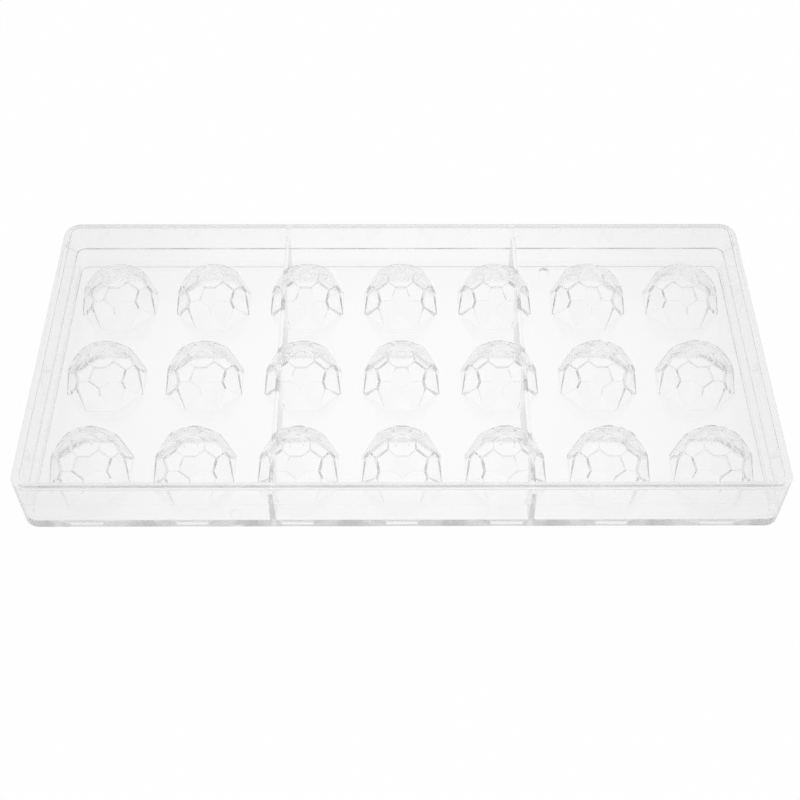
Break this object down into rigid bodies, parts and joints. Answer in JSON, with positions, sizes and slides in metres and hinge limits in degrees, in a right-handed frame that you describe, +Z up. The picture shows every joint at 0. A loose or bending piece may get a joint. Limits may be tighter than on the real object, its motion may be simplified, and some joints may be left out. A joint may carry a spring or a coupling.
{
  "type": "chocolate mould",
  "caption": "Clear polycarbonate chocolate mould: a shallow tray with rows of gem-shaped cavities, thin cross ribs and a stacking rim.",
  "frame": {"origin": "middle of the working face, in the plane on which the mould lies in the picture", "axes": "+X along the long side, +Y along the short side, +Z up through the open back"},
  "size_m": [0.275, 0.135, 0.024],
  "materials": {
    "clear_polycarbonate": "polished, clear"
  },
  "bodies": {
    "root": {"mould": "clear_polycarbonate"}
  },
  "joints": []
}
